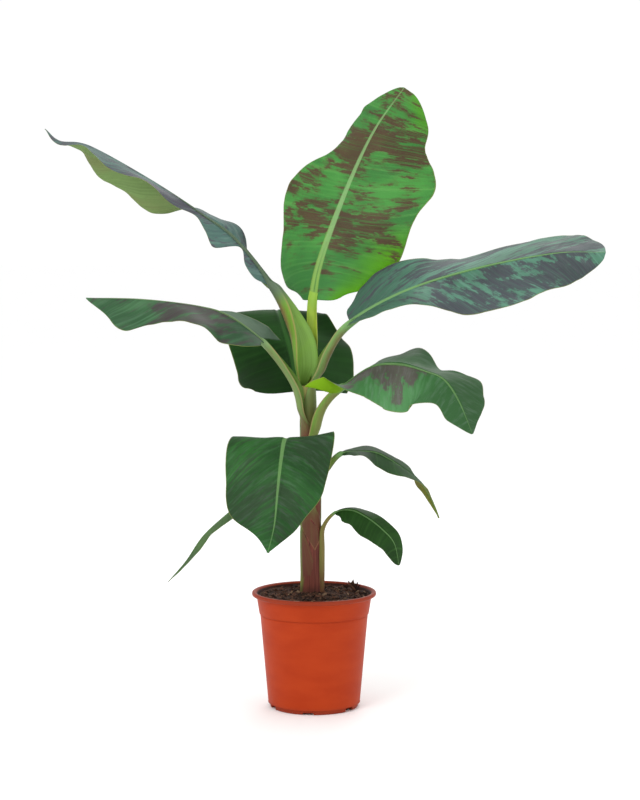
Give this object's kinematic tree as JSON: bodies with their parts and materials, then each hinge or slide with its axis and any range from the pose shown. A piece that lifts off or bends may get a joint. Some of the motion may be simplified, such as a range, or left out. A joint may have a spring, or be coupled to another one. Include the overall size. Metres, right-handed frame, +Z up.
{
  "type": "potted banana plant",
  "caption": "Young banana plant with broad, partly purple-blotched leaves on a reddish false stem, in a round orange nursery pot filled with soil.",
  "frame": {"origin": "centre of the pot's flat underside, on the surface it stands on", "axes": "+Z up along the stem, +X to the plant's right as seen from its front, +Y to its back"},
  "size_m": [0.9274, 0.5619, 1.0529],
  "materials": {
    "pot": "satin",
    "soil": "matte",
    "stem": "satin",
    "stalk": "satin",
    "leaf": "satin"
  },
  "bodies": {
    "root": {"pot": "pot", "soil": "soil", "stem": "stem", "top_stalk": "stalk", "top_blade": "leaf", "upper_left_stalk": "stalk", "upper_left_blade": "leaf", "right_stalk": "stalk", "right_blade": "leaf", "left_stalk": "stalk", "left_blade": "leaf", "back_stalk": "stalk", "back_blade_inner": "leaf", "back_blade_outer": "leaf", "right_mid_stalk": "stalk", "right_mid_blade_inner": "leaf", "right_mid_blade_outer": "leaf", "front_stalk": "stalk", "front_blade_inner": "leaf", "front_blade_outer": "leaf", "lower_right_stalk": "stalk", "lower_right_blade_inner": "leaf", "lower_right_blade_outer": "leaf", "small_right_stalk": "stalk", "small_right_blade_inner": "leaf", "small_right_blade_outer": "leaf", "lower_left_stalk": "stalk", "lower_left_blade_inner": "leaf", "lower_left_blade_outer": "leaf"}
  },
  "joints": []
}
